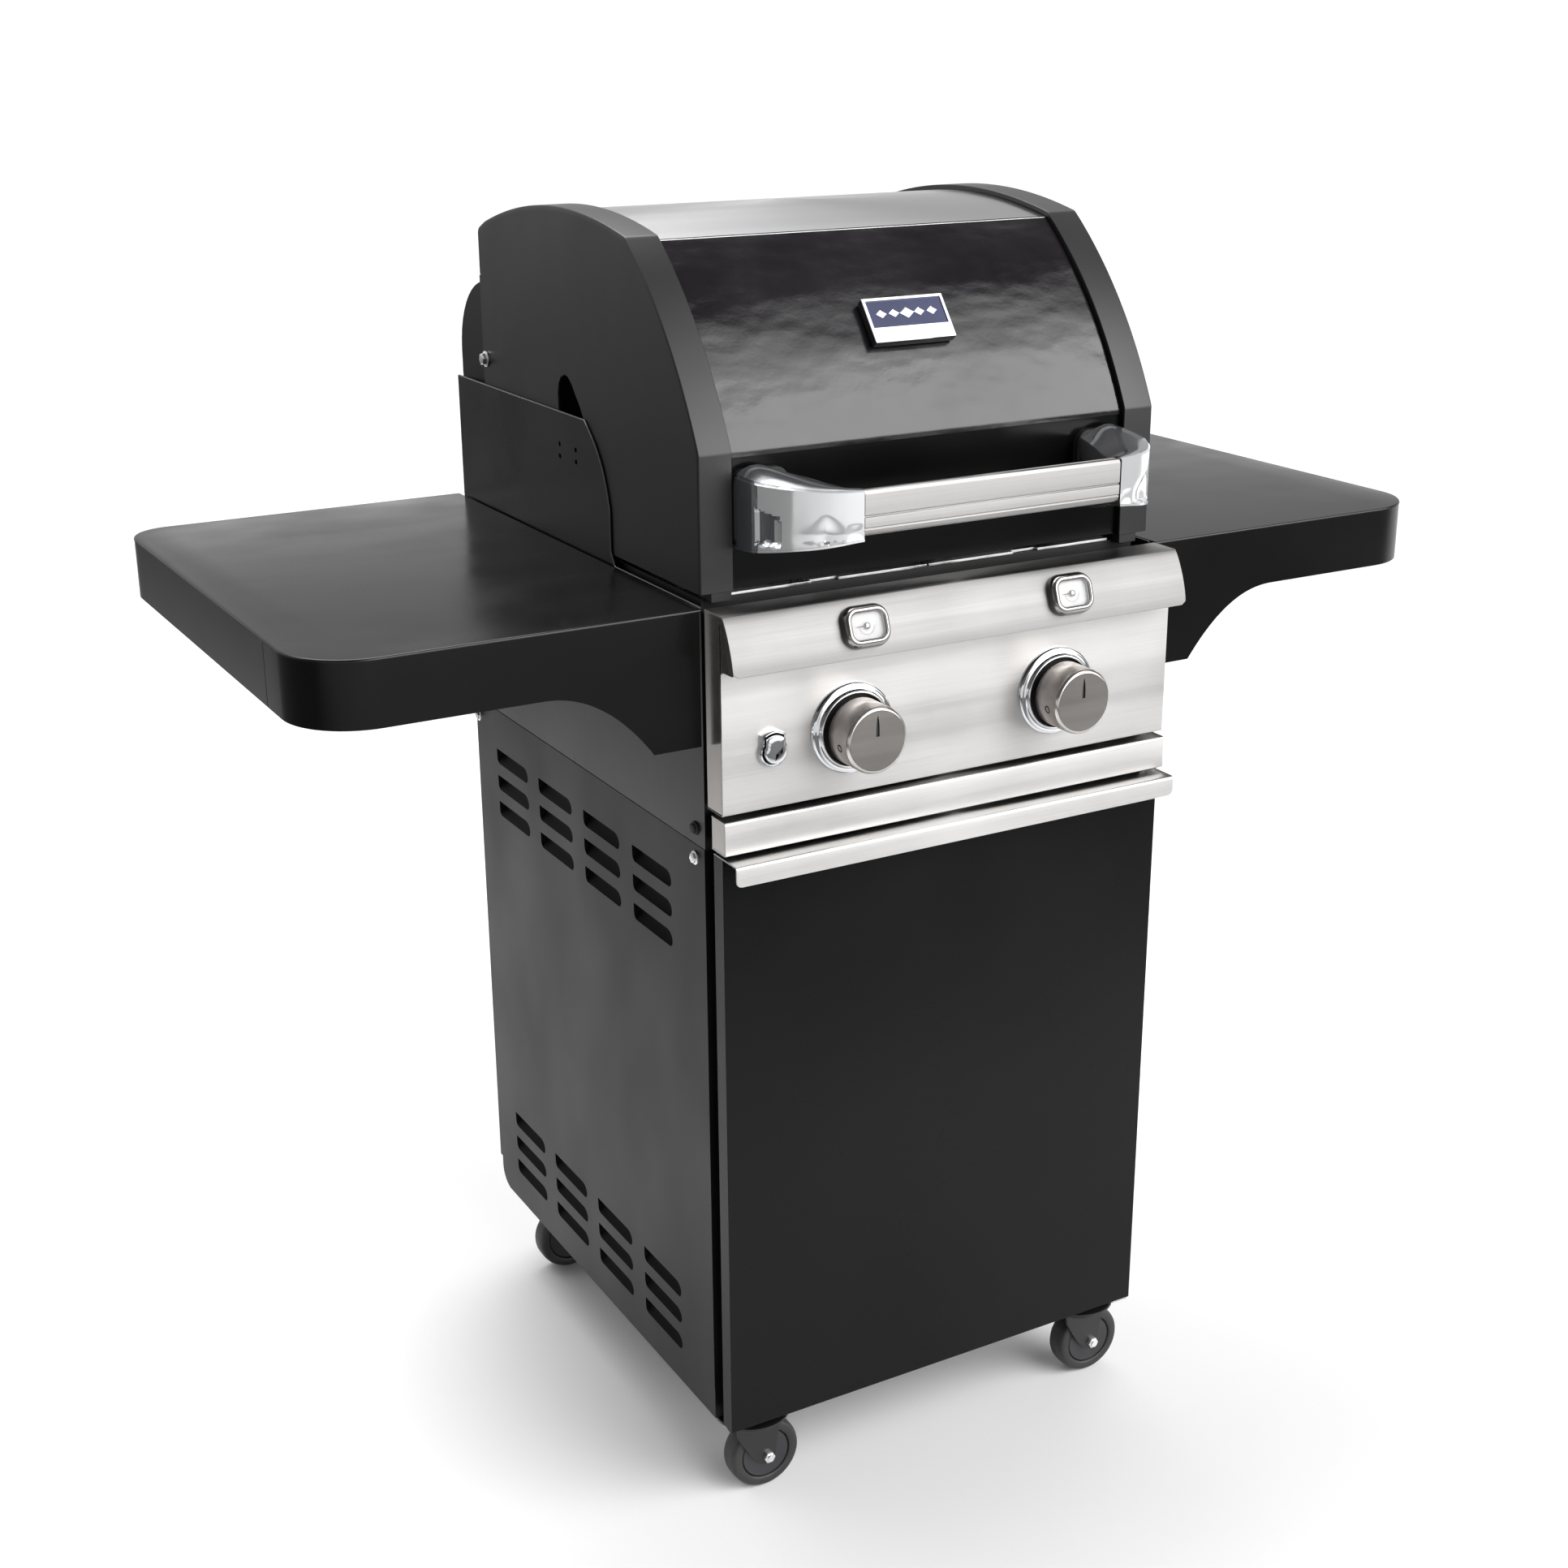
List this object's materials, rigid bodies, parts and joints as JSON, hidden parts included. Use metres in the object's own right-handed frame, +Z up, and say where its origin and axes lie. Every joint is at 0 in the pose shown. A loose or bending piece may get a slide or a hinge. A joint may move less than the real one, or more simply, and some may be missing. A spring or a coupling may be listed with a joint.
{
  "type": "gas barbecue grill",
  "caption": "Gas barbecue grill on a louvred cabinet cart, hinged hood lid with bar handle, side shelves, control knobs, lid gauges, slide-out drip tray, door and swivel casters.",
  "frame": {"origin": "on the floor under the middle of the grill's bounding box, door and knobs at the front", "axes": "+X to the right of someone facing the front, +Y to the back, +Z up"},
  "size_m": [1.208, 0.65, 1.2428],
  "materials": {
    "black_coat": "satin powder coat",
    "black_enamel": "gloss enamel",
    "stainless": "brushed",
    "chrome": "polished",
    "dark_chrome": "polished",
    "chrome_wire": "bright wire",
    "zinc": "zinc plated",
    "brass": "machined",
    "black_plastic": "matt",
    "dial_white": "printed white",
    "lens_glass": "clear",
    "knob_metal": "satin",
    "needle_paint": "painted",
    "wheel_rubber": "moulded"
  },
  "bodies": {
    "cart": {"base_pan": "black_coat", "side_panel_left": "black_coat", "side_panel_right": "black_coat", "rear_panel": "black_coat", "front_rail": "black_coat", "end_panel_left": "black_coat", "end_panel_right": "black_coat", "firebox": "black_coat", "rear_shield": "black_coat", "burners": "stainless", "emitters": "stainless", "grates": "stainless", "warming_rack": "chrome_wire", "rack_legs": "chrome_wire", "manifold": "zinc", "valve_bodies": "brass", "spark_module": "black_plastic", "control_panel": "stainless", "hood": "stainless", "knob_bezels": "chrome", "gauge_bezels": "dark_chrome", "gauge_dials": "dial_white", "gauge_lenses": "lens_glass", "igniter_bezel": "chrome", "tray_rails": "zinc", "shelf_left": "black_coat", "shelf_right": "black_coat", "fascia_left": "black_coat", "fascia_right": "black_coat", "door_brackets": "zinc", "caster_plates": "black_coat", "cart_bolts": "zinc", "lid_hinge_bolts": "zinc"},
    "lid": {"lid_cap_left": "black_coat", "lid_cap_right": "black_coat", "lid_roof": "stainless", "lid_front": "black_enamel", "lid_lower": "black_coat", "badge_plate": "chrome", "handle_bar": "stainless", "handle_brackets": "chrome"},
    "door": {"door_panel": "black_coat", "door_handle": "stainless"},
    "drip_tray": {"drip_pan": "zinc", "drip_front": "stainless"},
    "valve_left": {"plunger_left": "zinc"},
    "valve_right": {"plunger_right": "zinc"},
    "dial_left": {"knob_left": "knob_metal"},
    "dial_right": {"knob_right": "knob_metal"},
    "igniter": {"igniter_button": "chrome"},
    "gauge_needle_left": {"needle_left": "needle_paint"},
    "gauge_needle_right": {"needle_right": "needle_paint"},
    "caster_front_left": {"fork_front_left": "black_coat"},
    "roller_front_left": {"wheel_front_left": "wheel_rubber"},
    "caster_front_right": {"fork_front_right": "black_coat"},
    "roller_front_right": {"wheel_front_right": "wheel_rubber"},
    "caster_rear_left": {"fork_rear_left": "black_coat"},
    "roller_rear_left": {"wheel_rear_left": "wheel_rubber"},
    "caster_rear_right": {"fork_rear_right": "black_coat"},
    "roller_rear_right": {"wheel_rear_right": "wheel_rubber"}
  },
  "joints": [
    {"name": "lid_hinge", "type": "hinge", "parent": "cart", "child": "lid", "pos_m": [0, 0.236, 1.079], "axis": [-1, 0, 0], "range_deg": [0, 85]},
    {"name": "door_hinge", "type": "hinge", "parent": "cart", "child": "door", "pos_m": [0.232, -0.2565, 0.4], "axis": [0, 0, 1], "range_deg": [0, 110]},
    {"name": "drip_tray_slide", "type": "slide", "parent": "cart", "child": "drip_tray", "axis": [0, -1, 0], "range_m": [0, 0.3]},
    {"name": "igniter_push", "type": "slide", "parent": "cart", "child": "igniter", "axis": [0, 1, 0], "range_m": [0, 0.003], "stiffness_N_per_m": 1200},
    {"name": "valve_push_left", "type": "slide", "parent": "cart", "child": "valve_left", "axis": [0, 1, 0], "range_m": [0, 0.004], "stiffness_N_per_m": 1500},
    {"name": "knob_turn_left", "type": "hinge", "parent": "valve_left", "child": "dial_left", "pos_m": [-0.1125, -0.285, 0.8035], "axis": [0, -1, 0], "range_deg": [0, 225]},
    {"name": "gauge_turn_left", "type": "hinge", "parent": "cart", "child": "gauge_needle_left", "pos_m": [-0.111, -0.2865, 0.9015], "axis": [0, 0.9438, -0.3305], "range_deg": [0, 180], "stiffness_Nm_per_rad": 0.002},
    {"name": "valve_push_right", "type": "slide", "parent": "cart", "child": "valve_right", "axis": [0, 1, 0], "range_m": [0, 0.004], "stiffness_N_per_m": 1500},
    {"name": "knob_turn_right", "type": "hinge", "parent": "valve_right", "child": "dial_right", "pos_m": [0.1125, -0.285, 0.8035], "axis": [0, -1, 0], "range_deg": [0, 225]},
    {"name": "gauge_turn_right", "type": "hinge", "parent": "cart", "child": "gauge_needle_right", "pos_m": [0.111, -0.2865, 0.9015], "axis": [0, 0.9438, -0.3305], "range_deg": [0, 180], "stiffness_Nm_per_rad": 0.002},
    {"name": "swivel_front_left", "type": "hinge", "parent": "cart", "child": "caster_front_left", "pos_m": [-0.202, -0.2285, 0.083], "axis": [0, 0, 1], "continuous": true},
    {"name": "spin_front_left", "type": "hinge", "parent": "caster_front_left", "child": "roller_front_left", "pos_m": [-0.192, -0.2285, 0.038], "axis": [0, 1, 0], "continuous": true},
    {"name": "swivel_front_right", "type": "hinge", "parent": "cart", "child": "caster_front_right", "pos_m": [0.202, -0.2285, 0.083], "axis": [0, 0, 1], "continuous": true},
    {"name": "spin_front_right", "type": "hinge", "parent": "caster_front_right", "child": "roller_front_right", "pos_m": [0.212, -0.2285, 0.038], "axis": [0, 1, 0], "continuous": true},
    {"name": "swivel_rear_left", "type": "hinge", "parent": "cart", "child": "caster_rear_left", "pos_m": [-0.202, 0.249, 0.083], "axis": [0, 0, 1], "continuous": true},
    {"name": "spin_rear_left", "type": "hinge", "parent": "caster_rear_left", "child": "roller_rear_left", "pos_m": [-0.192, 0.249, 0.038], "axis": [0, 1, 0], "continuous": true},
    {"name": "swivel_rear_right", "type": "hinge", "parent": "cart", "child": "caster_rear_right", "pos_m": [0.202, 0.249, 0.083], "axis": [0, 0, 1], "continuous": true},
    {"name": "spin_rear_right", "type": "hinge", "parent": "caster_rear_right", "child": "roller_rear_right", "pos_m": [0.212, 0.249, 0.038], "axis": [0, 1, 0], "continuous": true}
  ]
}
